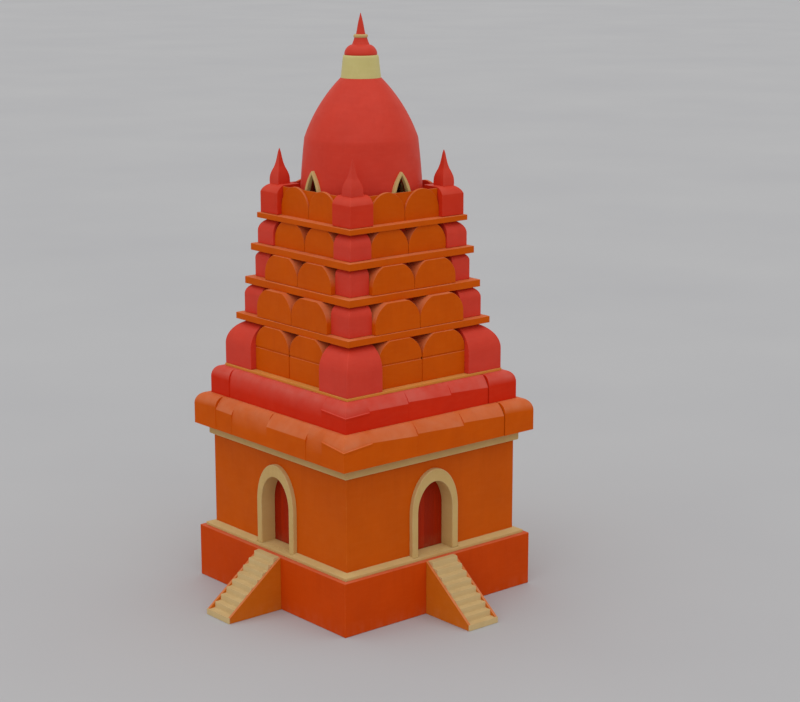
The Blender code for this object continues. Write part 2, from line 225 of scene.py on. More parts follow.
def plaster(name, base, deep, pale, dust, cloud, clouding, brushing, streaking, dust_and_painted_top_light, wear,
            smoothness, gloss):
    """Coloured lime plaster on masonry.

    It shows clouds where coats dried unevenly, marks of a broad brush, rain streaks that start at
    the top of a piece, splashes near the ground and rubbed arrises. What faces up takes the dust
    colour, partly real dust and partly painted light: a paler colour paints a sheen on the tops, and a
    darker one paints shade on them.
    """
    made = bpy.data.materials.new(name)
    made.use_nodes = True
    tree = made.node_tree
    shader = tree.nodes["Principled BSDF"]
    texture = add(tree, "ShaderNodeTexCoord")
    place = texture.outputs["Object"]
    geometry = add(tree, "ShaderNodeNewGeometry")
    up = add(tree, "ShaderNodeSeparateXYZ", {0: geometry.outputs["Normal"]}).outputs["Z"]
    height = add(tree, "ShaderNodeSeparateXYZ", {0: place}).outputs["Z"]
    level = add(tree, "ShaderNodeSeparateXYZ", {0: texture.outputs["Generated"]}).outputs["Z"]
    stone = add(tree, "ShaderNodeAttribute", attribute_name="stone_tone").outputs["Fac"]
    arris = add(tree, "ShaderNodeAttribute", attribute_name="worn_edge").outputs["Fac"]

    clouds = spread(tree, place, stretch=(1 / cloud,) * 3, detail=4.0, low=0.35, high=0.70,
                    strongest=clouding)
    tone = add(tree, "ShaderNodeMapRange", {"Value": stone, "To Max": 0.6 * clouding}).outputs[0]
    # a limewash brush is 0.12 m wide, and its strokes lap level and upright
    level_strokes = spread(tree, place, stretch=(2.2, 2.2, 9.0), detail=3.0, low=0.45, high=0.75,
                           strongest=brushing, seed=3.7)
    upright_strokes = spread(tree, place, stretch=(8.0, 8.0, 1.8), detail=3.0, low=0.48, high=0.75,
                             strongest=brushing, seed=9.1)
    fall = add(tree, "ShaderNodeMapRange", {"Value": level, "From Min": 0.15, "From Max": 1.0,
                                            "To Max": streaking}).outputs[0]
    streaks = spread(tree, place, stretch=(5.5, 5.5, 0.35), detail=4.0, low=0.50, high=0.72,
                     strongest=fall, seed=5.3)
    # upward faces: partly real dust and partly painted light; a paler dust colour paints a sheen of the
    # light from above, and a darker one paints shade
    upward_dust_and_painted_light = add(tree, "ShaderNodeMapRange", {"Value": up, "From Min": 0.03, "From Max": 0.45,
                                                 "To Max": dust_and_painted_top_light}).outputs[0]
    settled = spread(tree, place, stretch=(1.6, 1.6, 1.6), detail=2.0, low=-0.1, high=0.75,
                     strongest=upward_dust_and_painted_light, seed=1.9)
    near_ground = add(tree, "ShaderNodeMapRange", {"Value": height, "From Min": 0.5, "From Max": 0.0,
                                                   "To Max": 0.07}).outputs[0]
    splashes = spread(tree, place, stretch=(4.0, 4.0, 2.0), detail=6.0, low=0.42, high=0.70,
                      strongest=near_ground, seed=7.7)
    rubbed = add(tree, "ShaderNodeMapRange", {"Value": arris, "To Max": wear}).outputs[0]
    chips = spread(tree, place, stretch=(3.5, 3.5, 3.5), detail=5.0, low=0.35, high=0.65,
                   strongest=rubbed, seed=2.3)
    coat = linear(base)
    for colour, share in ((deep, clouds), (deep, tone), (pale, level_strokes), (deep, upright_strokes),
                          (deep, streaks), (dust, settled), (dust, splashes), (pale, chips)):
        coat = add(tree, "ShaderNodeMix", {"Factor": share, "A": coat, "B": linear(colour)},
                   data_type="RGBA").outputs["Result"]
    tree.links.new(coat, shader.inputs["Base Color"])

    smooth, rough = smoothness
    sheen = spread(tree, place, stretch=(1.6, 1.6, 1.6), detail=3.0, low=0.30, high=0.70,
                   strongest=1.0, seed=4.4)
    sheen = add(tree, "ShaderNodeMapRange", {"Value": sheen, "To Min": smooth, "To Max": rough}).outputs[0]
    tree.links.new(sheen, shader.inputs["Roughness"])
    # dry lime is full of pores, which take away most of its gloss
    shader.inputs["IOR"].default_value = 1.5
    shader.inputs["Specular IOR Level"].default_value = gloss
    shader.inputs["Diffuse Roughness"].default_value = 0.4
    # sand grains of 1 to 2 mm are drawn 20 mm wide, or the camera would not show them
    grains = add(tree, "ShaderNodeTexNoise", {"Vector": place, "Scale": 50.0, "Detail": 2.0}).outputs["Fac"]
    waves = add(tree, "ShaderNodeTexNoise", {"Vector": place, "Scale": 2.4, "Detail": 3.0}).outputs["Fac"]
    trowelled = add(tree, "ShaderNodeBump",
                    {"Height": waves, "Strength": 0.22, "Distance": 0.02}).outputs[0]
    sandy = add(tree, "ShaderNodeBump", {"Height": grains, "Strength": 0.25, "Distance": 0.003,
                                         "Normal": trowelled}).outputs[0]
    tree.links.new(sandy, shader.inputs["Normal"])
    return made


def painted_planks(name, paint, worn, dark, dust):
    """Teak planks under old oil paint: faint upright grain, darker joints, dust at the foot."""
    made = bpy.data.materials.new(name)
    made.use_nodes = True
    tree = made.node_tree
    shader = tree.nodes["Principled BSDF"]
    texture = add(tree, "ShaderNodeTexCoord")
    place = texture.outputs["Object"]
    level = add(tree, "ShaderNodeSeparateXYZ", {0: texture.outputs["Generated"]}).outputs["Z"]
    plank = add(tree, "ShaderNodeAttribute", attribute_name="stone_tone").outputs["Fac"]
    arris = add(tree, "ShaderNodeAttribute", attribute_name="worn_edge").outputs["Fac"]

    # grain lines 1 mm apart are drawn 20 mm apart, or the camera would not show them
    grain = spread(tree, place, stretch=(45.0, 45.0, 0.8), detail=4.0, low=0.40, high=0.70,
                   strongest=0.45)
    tone = add(tree, "ShaderNodeMapRange", {"Value": plank, "To Max": 0.5}).outputs[0]
    rubbed = add(tree, "ShaderNodeMapRange", {"Value": arris, "To Max": 0.4}).outputs[0]
    chips = spread(tree, place, stretch=(6.0, 6.0, 3.0), detail=5.0, low=0.35, high=0.65,
                   strongest=rubbed, seed=2.3)
    foot = add(tree, "ShaderNodeMapRange", {"Value": level, "From Min": 0.2, "From Max": 0.0,
                                            "To Max": 0.4}).outputs[0]
    settled = spread(tree, place, stretch=(3.0, 3.0, 3.0), detail=4.0, low=0.30, high=0.70,
                     strongest=foot, seed=1.9)
    coat = linear(paint)
    for colour, share in ((dark, grain), (dark, tone), (worn, chips), (dust, settled)):
        coat = add(tree, "ShaderNodeMix", {"Factor": share, "A": coat, "B": linear(colour)},
                   data_type="RGBA").outputs["Result"]
    tree.links.new(coat, shader.inputs["Base Color"])

    sheen = spread(tree, place, stretch=(3.0, 3.0, 1.0), detail=3.0, low=0.30, high=0.70,
                   strongest=1.0, seed=4.4)
    sheen = add(tree, "ShaderNodeMapRange", {"Value": sheen, "To Min": 0.38, "To Max": 0.55}).outputs[0]
    tree.links.new(sheen, shader.inputs["Roughness"])
    shader.inputs["IOR"].default_value = 1.48
    shader.inputs["Specular IOR Level"].default_value = 0.12
    lines = add(tree, "ShaderNodeMapping", {"Vector": place, "Scale": (60.0, 60.0, 1.5)}).outputs[0]
    lines = add(tree, "ShaderNodeTexNoise", {"Vector": lines, "Scale": 1.0, "Detail": 3.0}).outputs["Fac"]
    relief = add(tree, "ShaderNodeBump",
                 {"Height": lines, "Strength": 0.4, "Distance": 0.002}).outputs[0]
    tree.links.new(relief, shader.inputs["Normal"])
    return made


# In each finish below, the dust colour and its amount are partly real dust and partly painted light: the
# pale dust colours paint a sheen on what faces up.
# Vermilion limewash over lime plaster, brushed on: flat and strong, with slow clouds.
VERMILION = plaster("vermilion_limewash", base="#db4c04", deep="#c23c02", pale="#e2662a", dust="#e8b898",
                    cloud=1.4, clouding=0.30, brushing=0.10, streaking=0.18, dust_and_painted_top_light=0.22, wear=0.45,
                    smoothness=(0.55, 0.70), gloss=0.07)
# Saffron limewash, brushed: the walls' orange, a little chalky.
SAFFRON = plaster("saffron_limewash", base="#db6006", deep="#c44e04", pale="#e27c30", dust="#e8b898",
                  cloud=1.3, clouding=0.28, brushing=0.10, streaking=0.20, dust_and_painted_top_light=0.22, wear=0.40,
                  smoothness=(0.58, 0.72), gloss=0.08)
# Ochre saffron limewash on the stairs' cheeks: yellower than the walls.
OCHRE = plaster("ochre_limewash", base="#dc7414", deep="#c66010", pale="#e6924a", dust="#eeb49a",
                cloud=0.9, clouding=0.30, brushing=0.10, streaking=0.20, dust_and_painted_top_light=0.30, wear=0.50,
                smoothness=(0.58, 0.72), gloss=0.08)
# The walls' saffron on the cornice and the tower, with one more coat: deeper and less chalky.
TOWER_SAFFRON = plaster("saffron_limewash_tower", base="#df5f00", deep="#c84d00", pale="#e67f26",
                        dust="#ecba98", cloud=0.9, clouding=0.30, brushing=0.10, streaking=0.22,
                        dust_and_painted_top_light=0.27, wear=0.45, smoothness=(0.50, 0.66), gloss=0.06)
# Temple red distemper bound with oil, brushed over smooth plaster: closed and slightly silky.
RED = plaster("red_distemper", base="#e3402a", deep="#cd311e", pale="#ea6450", dust="#e8a290",
              cloud=0.8, clouding=0.28, brushing=0.09, streaking=0.18, dust_and_painted_top_light=0.02, wear=0.40,
              smoothness=(0.42, 0.56), gloss=0.22)
# Red oxide limewash on the upper cornice: a purer, deeper red than the distemper.
RED_OXIDE = plaster("red_oxide_limewash", base="#e22f0c", deep="#cb2308", pale="#e8563a", dust="#eaa496",
                    cloud=0.9, clouding=0.28, brushing=0.09, streaking=0.18, dust_and_painted_top_light=0.29, wear=0.42,
                    smoothness=(0.48, 0.62), gloss=0.08)
# The distemper on the pinnacles' blocks, with more oxide in it: between the other two reds.
BLOCK_RED = plaster("red_distemper_pinnacle_blocks", base="#e4391a", deep="#cd2b14", pale="#e95d42",
                    dust="#e8a290", cloud=0.8, clouding=0.28, brushing=0.09, streaking=0.18, dust_and_painted_top_light=0.12,
                    wear=0.40, smoothness=(0.42, 0.56), gloss=0.14)
# Cream lime plaster, trowelled smooth and rubbed: pale, even, with faint brown rain marks.
CREAM = plaster("cream_lime_plaster", base="#dab877", deep="#c6a060", pale="#e6ce9c", dust="#dccba6",
                cloud=0.7, clouding=0.28, brushing=0.10, streaking=0.28, dust_and_painted_top_light=0.15, wear=0.45,
                smoothness=(0.50, 0.68), gloss=0.15)
# The same cream plaster on the steps, a paler coat. Its darker dust colour is painted shade that darkens
# the treads a little and evens out the light on them.
STAIR_CREAM = plaster("stair_cream_plaster", base="#dfc38d", deep="#ceae74", pale="#e6d1a6",
                        dust="#c09c64", cloud=0.5, clouding=0.22, brushing=0.08, streaking=0.10,
                        dust_and_painted_top_light=0.50, wear=0.10, smoothness=(0.52, 0.68), gloss=0.15)
# Tan limewash on the thin slab, thinner than the rest: slightly green in the middle of the coat.
TAN = plaster("tan_limewash", base="#e78e38", deep="#c99c44", pale="#efae68", dust="#dcae84",
              cloud=1.2, clouding=0.55, brushing=0.10, streaking=0.15, dust_and_painted_top_light=0.15, wear=0.50,
              smoothness=(0.50, 0.66), gloss=0.12)
# Pale lime-yellow plaster on the neck, trowelled and burnished: the smoothest and lightest surface.
PALE_LIME = plaster("pale_lime_plaster", base="#dfd38c", deep="#cdbd74", pale="#efe5b0", dust="#dfd3a6",
                    cloud=0.5, clouding=0.28, brushing=0.10, streaking=0.28, dust_and_painted_top_light=0.10, wear=0.40,
                    smoothness=(0.42, 0.58), gloss=0.20)
# Maroon oil paint on teak planks: a soft gloss over faint grain.
MAROON = painted_planks("maroon_oil_paint", paint="#bb2b02", worn="#c64a20", dark="#901c02",
                        dust="#a06a48")


# Pieces, from the ground up

GAP = 0.0003  # bedding gap, as in the solids
NEAR = 0.001  # two places closer than this are one

# Roundings that a plasterer's hand leaves: on big corners, blocks, small courses and finer work
WALL_ARRIS, BLOCK_ARRIS, COURSE_ARRIS, FINE_ARRIS = 0.022, 0.018, 0.012, 0.010

ORANGE_ROUND, RED_ROUND = 0.32, 0.26  # how far back the cornices' upper edges round off
ORANGE_INNER, RED_INNER = 3.0, 2.8  # to the hollow that the cornices' stones go round

PLINTH_HALF, PLINTH_TOP = half_of("plinth"), top_of("plinth")
FLOOR_TOP = top_of("floor")
WALL_HALF, WALL_TOP = half_of("upper_wall"), top_of("upper_wall")
TRIM_HALF = half_of("plinth_trim")
ROOM_HALF = 3.20
DOOR_HALF, DOOR_SPRING, DOOR_RISE = 0.74, 3.33, 1.00
SURROUND_BAND, SURROUND_CROWN, SURROUND_FACE, SURROUND_ARRIS = 0.25, 0.42, 3.75, 0.035


def plinth():
    form = square_course([(PLINTH_HALF, 0), (PLINTH_HALF, PLINTH_TOP)])
    show("plinth_plaster", soften(form, WALL_ARRIS, 3), VERMILION, ["plinth"])


TRIM_LIP, TRIM_BACK = -0.01, 0.07  # heights of its front edge and its back above the floor
TRIM_JOINT = 0.004  # between a corner's length of trim and the surround beside it


def plinth_trim():
    """A weathered course round the walls' foot, let down where each surround passes."""
    foot, inner = foot_of("plinth_trim"), WALL_HALF + GAP
    lip, back = FLOOR_TOP + TRIM_LIP, FLOOR_TOP + TRIM_BACK
    reach = DOOR_HALF + SURROUND_BAND + TRIM_JOINT
    form = bmesh.new()
    for turn in TURNS.values():
        for side in (1, -1):
            rows = []
            for u0, u1 in ((reach, reach), (TRIM_HALF, inner)):
                outline = [(u1, inner, foot), (u0, TRIM_HALF, foot), (u0, TRIM_HALF, lip),
                           (u1, inner, back)]
                rows.append([(side * u, -out, z) for u, out, z in outline])
            lay(form, turned(soften(loft(rows), COURSE_ARRIS, only=trim_edges), turn))
        sill = prism([(-reach, foot), (reach, foot), (reach, lip), (-reach, lip)], -TRIM_HALF, -inner)
        lay(form, turned(soften(sill, COURSE_ARRIS, only=sill_edges), turn))
    show("plinth_trim_course", form, CREAM, ["plinth_trim"])


def trim_edges(a, b):
    """Picks the trim's long edges and its corner's upright one, and leaves its ends square."""
    return abs(a.x - b.x) > 1 or abs(a.z - b.z) > 0.05 and abs(a.x) > TRIM_HALF - 0.05


def sill_edges(a, b):
    return max(a.y, b.y) < -TRIM_HALF + 0.01 and abs(a.x - b.x) > 1


def wall_corners(a, b):
    upright = abs(a.x - b.x) + abs(a.y - b.y) < 0.01
    return upright and min(abs(a.x), abs(a.y)) > WALL_HALF - 0.1


def face_edges(face, foot):
    """Picks the edges of an arch's front face, and leaves out the level ones that it stands on."""
    return lambda a, b: max(a.y, b.y) < -face + NEAR and max(a.z, b.z) > foot + NEAR


def arch_line(half, rise, spring, foot, count=49):
    """A doorway's outline: upright sides under half an ellipse."""
    turns = [math.pi * i / (count - 1) for i in range(count)]
    arch = [(half * math.cos(t), spring + rise * math.sin(t)) for t in turns]
    return [(half, foot), *arch, (-half, foot)]


def walls():
    """The four walls as one piece, with an arched doorway in each."""
    foot = FLOOR_TOP + GAP
    jamb = DOOR_HALF + SURROUND_BAND + GAP
    opening = arch_line(jamb, DOOR_RISE + SURROUND_CROWN + GAP, DOOR_SPRING, foot)
    form = bmesh.new()
    for turn in TURNS.values():
        spin = Matrix.Rotation(math.radians(turn), 3, "Z")
        faces = []
        for reach in (WALL_HALF, ROOM_HALF):
            outline = [(-reach, WALL_TOP), (reach, WALL_TOP), (reach, foot), *opening, (-reach, foot)]
            faces.append([form.verts.new(spin @ Vector((x, -reach, z))) for x, z in outline])
        outside, inside = faces
        form.faces.new(outside)
        form.faces.new(inside)
        ends = (0, 2)  # the walls' corners, where the next wall goes on
        for i in range(len(outside)):
            if i not in ends:
                form.faces.new((outside[i - 1], outside[i], inside[i], inside[i - 1]))
    bmesh.ops.remove_doubles(form, verts=form.verts, dist=0.0001)
    soften(form, WALL_ARRIS, 3, only=wall_corners)
    nodes = ["upper_wall"] + [f"wall_pier_{name}" for name in CORNERS]
    show("walls_plaster", form, SAFFRON, nodes)


def door_surrounds():
    """A cream arch round each doorway, which also lines its reveal."""
    foot = FLOOR_TOP + GAP
    outer = arch_line(DOOR_HALF + SURROUND_BAND, DOOR_RISE + SURROUND_CROWN, DOOR_SPRING, foot)
    inner = arch_line(DOOR_HALF, DOOR_RISE, DOOR_SPRING, foot)
    for name, turn in TURNS.items():
        form = prism(outer + inner[::-1], -SURROUND_FACE, -ROOM_HALF)
        form = turned(soften(form, SURROUND_ARRIS, 3, only=face_edges(SURROUND_FACE, foot)), turn)
        show(f"{name}_door_surround", form, CREAM, [f"door_surround_{name}"])


LEAF_HALF, LEAF_THICK, LEAF_TOP, PLANKS, PLANK_ARRIS = 0.81, 0.05, 4.42, 8, 0.007
LEAF_GAP = 0.01  # to the surround's back and to the floor
LEDGE_HEIGHTS, LEDGE_HALF, LEDGE_THICK, LEDGE_ARRIS = (2.25, 3.15, 4.05), 0.07, 0.03, 0.006
HINGE_MARGIN, LOCK_MARGIN = 0.12, 0.06  # from the ends of a ledge to the edges of the leaf
# The pivot: its radius, how far its axis lies from the hinge edge, and its depth in the leaf
PIVOT_RADIUS, PIVOT_INSET, PIVOT_HOLD = 0.012, 0.015, 0.02


def door_leaves():
    """Eight planks on three ledges, hung on a pivot at the foot of the hinge edge."""
    foot, front = FLOOR_TOP + LEAF_GAP, LEAF_GAP - ROOM_HALF
    back = front + LEAF_THICK
    width = 2 * LEAF_HALF / PLANKS
    for name, turn in TURNS.items():
        form = bmesh.new()
        for i in range(PLANKS):
            left = -LEAF_HALF + i * width
            lay(form, soften(block(left, left + width, front, back, foot, LEAF_TOP), PLANK_ARRIS))
        for height in LEDGE_HEIGHTS:
            ledge = block(-LEAF_HALF + HINGE_MARGIN, LEAF_HALF - LOCK_MARGIN, back, back + LEDGE_THICK,
                          height - LEDGE_HALF, height + LEDGE_HALF)
            lay(form, soften(ledge, LEDGE_ARRIS))
        pivot = lathe([(PIVOT_RADIUS, FLOOR_TOP + GAP), (PIVOT_RADIUS, foot + PIVOT_HOLD)], 16)
        place = (-LEAF_HALF + PIVOT_INSET, front + LEAF_THICK / 2, 0)
        bmesh.ops.translate(pivot, verts=pivot.verts, vec=place)
        lay(form, pivot)
        show(f"{name}_door_planks", turned(form, turn), MAROON, [f"door_leaf_{name}"],
             f"{name}_door")


STEPS, STAIR_RUN, STAIR_HALF, CHEEK = 9, 2.06, 0.625, 0.09
STAIR_BED = 0.02  # height of the steps' underside
KERB, KERB_LAP = 0.04, 0.025  # the lowest riser's own stone, and what the steps leave free behind it
# A worn nosing: how far back from the riser and how far below the tread its bends lie
NOSING = ((0.006, 0.050), (0.008, 0.030), (0.016, 0.013), (0.034, 0.006))
# The plaster fillet behind a tread: how far out from the next riser and how far up
FILLET = ((0.030, 0), (0.012, 0.006), (0, 0.024))


def stairs():
    """Nine plastered steps between sloping cheeks, with worn nosings and a fillet behind each tread."""
    wall = PLINTH_HALF + GAP
    near = wall + STAIR_RUN
    rise, tread = PLINTH_TOP / STEPS, STAIR_RUN / STEPS
    inside = STAIR_HALF - CHEEK
    slope = [(wall, 0), (near, 0), (near, rise), (wall, PLINTH_TOP)]
    outline = [(wall, STAIR_BED), (near - KERB_LAP, STAIR_BED)]
    for step in range(STEPS):
        nose, top = near - step * tread, (step + 1) * rise
        outline += [(nose - back, top - down) for back, down in NOSING]
        if step < STEPS - 1:
            outline += [(nose - tread + out, top + up) for out, up in FILLET]
    outline.append((wall, PLINTH_TOP))
    for name, turn in TURNS.items():
        form = bmesh.new()
        for far in (-inside, STAIR_HALF):
            lay(form, turned(soften(prism(slope, far - CHEEK, far), COURSE_ARRIS), turn - 90))
        show(f"{name}_stair_cheeks", form, OCHRE, [f"stair_cheeks_{name}"])
        form = bmesh.new()
        lay(form, turned(prism(outline, -inside + GAP, inside - GAP), turn - 90))
        kerb = block(near + GAP, near + KERB, -STAIR_HALF, STAIR_HALF, 0, rise)
        lay(form, turned(soften(kerb, FINE_ARRIS), turn - 90))
        show(f"{name}_stair_steps", form, STAIR_CREAM, [f"stair_steps_{name}"])


COURSE_SPLAY = (0.015, 0.03)  # how far the course's foot lies in, and how high the splay goes


def string_course():
    node = "string_course"
    half, foot, top = half_of(node), foot_of(node), top_of(node)
    back, up = COURSE_SPLAY
    form = soften(square_course([(half - back, foot), (half, foot + up), (half, top)]), COURSE_ARRIS)
    show("string_course_band", form, CREAM, [node])


# Stones between the corner blocks of a cornice, from left to right as seen from outside: start,
# end, height at each where the rounding starts, how round it is from 0 to 1, and proudness
ORANGE_STONES = {
    "front": ((-2.905, -1.020, 6.214, 6.110, 0.30, 0.000), (-1.020, 0.945, 6.180, 6.100, 0.30, 0.004),
              (0.945, 2.735, 6.200, 6.120, 0.30, 0.000)),
    "left": ((-2.828, -1.920, 6.130, 6.110, 0.30, 0.006), (-1.920, 0.040, 5.700, 5.700, 1.00, 0.000),
             (0.040, 2.100, 6.110, 6.110, 0.30, 0.006), (2.100, 2.941, 5.700, 5.700, 1.00, -0.004)),
}
RED_STONES = {
    "front": ((-2.669, -1.060, 7.107, 7.084, 0.30, 0.000), (-1.060, 0.760, 7.139, 7.078, 0.30, 0.004),
              (0.760, 2.386, 7.140, 7.063, 0.30, 0.000)),
    "left": ((-2.610, 2.412, 6.750, 6.750, 1.00, 0.000),),
}
# Corner block at the left end of each side: where it ends round the corner, the height there, at the
# corner and at its other end where the rounding starts, where that end is, and how far its lip stands out
ORANGE_CORNERS = {
    "front": (2.941, 6.225, 6.085, 6.200, -2.905, 0.020),
    "right": (2.765, 6.150, 6.090, 6.150, -2.828, 0),
    "back": (2.941, 6.225, 6.085, 6.200, -2.905, 0.020),
    "left": (2.765, 6.150, 6.110, 6.170, -2.828, 0),
}
RED_CORNERS = {
    "front": (2.412, 7.090, 7.030, 7.070, -2.669, 0.018),
    "right": (2.414, 7.070, 7.060, 7.060, -2.610, 0),
    "back": (2.412, 7.090, 7.030, 7.070, -2.669, 0.018),
    "left": (2.414, 7.070, 7.060, 7.060, -2.610, 0),
}
STONE_SETBACK = 0.02  # of the long stones' faces behind the corner blocks'
# A lip below the shoulder of a corner block: where it starts and where it is full
LIP_START, LIP_FULL = 0.060, 0.045
# The small step above a lip: how far back, and how much higher the rounding starts
LIP_BACK, LIP_STEP = 0.03, 0.012
LIP_ARRIS, LIP_BULGE = 0.006, 0.5  # a block with a lip has sharper arrises and a flatter rounding


def stone_profile(half, foot, top, shoulder, setback, inner, bulge, lip=0):
    """Half widths and heights round a cornice stone, from its inner foot to its inner top."""
    line = [(inner, foot), (half - lip, foot)]
    face = half
    if lip:
        line += [(half - lip, shoulder - LIP_START), (half, shoulder - LIP_FULL), (half, shoulder)]
        face, shoulder = half - LIP_BACK, shoulder + LIP_STEP
    depth = setback - half + face
    line += [(face - depth * back, shoulder + (top - shoulder) * up) for back, up in rounding(bulge)]
    return [*line, (inner, top)]


def run_edges(a, b):
    """Picks a stone's long edges and the arris at a corner, and leaves its joints tight."""
    return abs(a.x - b.x) > 0.3 or abs(a.y - b.y) > 0.3 or abs(a.x - a.y) + abs(b.x - b.y) < 0.001


def cornice(name, node, stones, corners, setback, inner, look):
    """A cornice of long stones with rounded upper edges, and a block at each corner."""
    half, foot, top = half_of(node), foot_of(node), top_of(node)

    def profile(shoulder, bulge, proud=0, lip=0):
        return stone_profile(half + proud, foot, top, shoulder, setback, inner, bulge, lip)

    form = bmesh.new()
    for side, turn in TURNS.items():
        for start, end, first, last, bulge, proud in stones["front" if turn % 180 == 0 else "left"]:
            rows = []
            for u, shoulder in ((start, first), (end, last)):
                line = profile(shoulder, bulge, proud - STONE_SETBACK)
                rows.append([(u, -out, z) for out, z in line])
            lay(form, turned(soften(loft(rows), FINE_ARRIS, only=run_edges), turn))
        reach, before, corner, after, start, lip = corners[side]
        bulge, arris = (LIP_BULGE, LIP_ARRIS) if lip else (1.0, COURSE_ARRIS)
        rows = [[(-out, -reach, z) for out, z in profile(before, bulge, lip=lip)],
                [(-out, -out, z) for out, z in profile(corner, bulge, lip=lip)],
                [(start, -out, z) for out, z in profile(after, bulge, lip=lip)]]
        lay(form, turned(soften(loft(rows), arris, only=run_edges), turn))
    show(name, form, look, [node])


# The drip under a ledge, a groove that rain can't cross: how far in from the edge and how deep
DRIP = ((0.10, 0), (0.095, 0.015), (0.07, 0.015), (0.065, 0))
LEDGE_FALL, LEDGE_SLOPE = 0.012, 0.30  # how much lower its edge lies, and how far in the fall starts
RIM_ARRIS = 0.014


def ledge(half, foot, top):
    """A projecting slab with a drip under its edge and a top that sheds water."""
    profile = [(half - back, foot + deep) for back, deep in DRIP]
    profile += [(half, foot), (half, top - LEDGE_FALL), (half - LEDGE_SLOPE, top)]
    return soften(square_course(profile), RIM_ARRIS,
                  only=lambda a, b: max(abs(a.x), abs(a.y)) > half - 0.01)


# Tower stages: inner edge of the corner blocks, radius of their round-over, panels' back
STAGES = {1: (1.84, 0.86, 2.42), 2: (1.87, 0.36, 2.30), 3: (1.76, 0.26, 2.05), 4: (1.60, 0.44, 1.95)}
CORE_JOINT = 0.01  # between the core and the panels' back
LINTEL = 0.10  # from the top of the core to the slab above
ARCH_RISE, ARCH_BEHIND_SLAB = 0.75, 0.09
PANEL_JOINT, PANEL_SEAM = 0.0015, 0.010  # to the block beside a panel, and to the middle of the side
GROOVE, GROOVE_DEPTH, GROOVE_HEIGHT, GROOVE_LAP = 0.05, 0.03, 8.33, 0.02


def corner_blocks(stage):
    """Blocks that round over towards their tops, on the corners of a plain core."""
    inner, radius, back = STAGES[stage]
    node = f"stage_{stage}_corner_blocks"
    half, foot, under = half_of(node), foot_of(node), top_of(node) + LINTEL
    core = back - CORE_JOINT
    turns = [math.pi / 2 * i / 22 for i in range(23)]
    line = [(half, foot)]
    line += [(half - radius * (1 - math.cos(t)), under - radius + radius * math.sin(t)) for t in turns]
    rows = []
    for out, z in line:
        ring = []
        for turn in TURNS.values():
            spin = Matrix.Rotation(math.radians(turn), 3, "Z")
            corner = [(core, inner), (out, inner), (out, out), (inner, out), (inner, core)]
            ring += [tuple(spin @ Vector((x, y, min(z, under - NEAR)))) for x, y in corner]
        rows.append(ring)
    show(f"stage_{stage}_blocks", soften(loft(rows), BLOCK_ARRIS), RED, [node])


def panel_outline(left, right, foot, crown, highest, count=21):
    """A round-topped panel, cut level where it meets the slab above."""
    half, middle = (right - left) / 2, (left + right) / 2
    end = math.asin(min(1, (highest - crown + ARCH_RISE) / ARCH_RISE))
    turns = [end * i / (count - 1) for i in range(count)]
    turns += [math.pi - t for t in reversed(turns[:-1] if highest >= crown else turns)]
    arch = [(middle + half * math.cos(t), crown - ARCH_RISE + ARCH_RISE * math.sin(t)) for t in turns]
    return [(right, foot), *arch, (left, foot)]


def arched_panels(stage):
    """Two round-topped panels on each side. Those of the lowest stage have a line across them."""
    inner, _, back = STAGES[stage]
    node = f"stage_{stage}_arched_panels"
    low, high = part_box(node)
    face, foot, under = high.x, low.z, high.z
    crown = under + ARCH_BEHIND_SLAB
    reach = inner - PANEL_JOINT
    middle = GROOVE / 2 if stage == 1 else PANEL_SEAM
    split = GROOVE_HEIGHT - GROOVE / 2
    form = bmesh.new()
    for turn in TURNS.values():
        for left, right in ((middle, reach), (-reach, -middle)):
            outlines = [panel_outline(left, right, foot, crown, under)]
            if stage == 1:
                outlines = [[(right, foot), (right, split), (left, split), (left, foot)],
                            panel_outline(left, right, split + GROOVE, crown, under)]
            for outline in outlines:
                lay(form, turned(soften(prism(outline, -face, -back), COURSE_ARRIS), turn))
        if stage == 1:
            bed, lap = face - GROOVE_DEPTH, GROOVE_LAP
            lay(form, turned(block(-reach, reach, -bed, -back, split - lap, split + GROOVE + lap), turn))
            lay(form, turned(block(-middle, middle, -bed, -back, foot, crown - ARCH_RISE), turn))
    show(f"stage_{stage}_panels", form, TOWER_SAFFRON, [node])


def slabs():
    for number in (1, 2, 3):
        node = f"slab_{number}"
        form = ledge(half_of(node), foot_of(node), top_of(node))
        show(f"slab_{number}_ledge", form, TOWER_SAFFRON, [node])
    node = "tower_base_slab"
    half = half_of(node)
    form = soften(square_course([(half, foot_of(node)), (half, top_of(node))]), COURSE_ARRIS)
    show("tan_slab", form, TAN, [node])


TERRACE_TOP, TERRACE_BED = 12.70, 0.01  # the parapet stands in it to the depth of its bed
PARAPET_FACE, PARAPET_BACK, PARAPET_TOP = 2.21, 2.10, 13.68
BACKING_FACE, BACKING_BACK, BACKING_TOP, BACKING_MARGIN = 2.14, 2.11, 13.62, 0.01
BACKING_ARRIS = 0.008
PINNACLE_HALF, PINNACLE_INNER, PINNACLE_ROUND = 2.38, 1.45, 0.27
PINNACLE_BLOCK_TOP, PINNACLE_TIP, PINNACLE_BULGE = 13.66, 14.82, 0.6


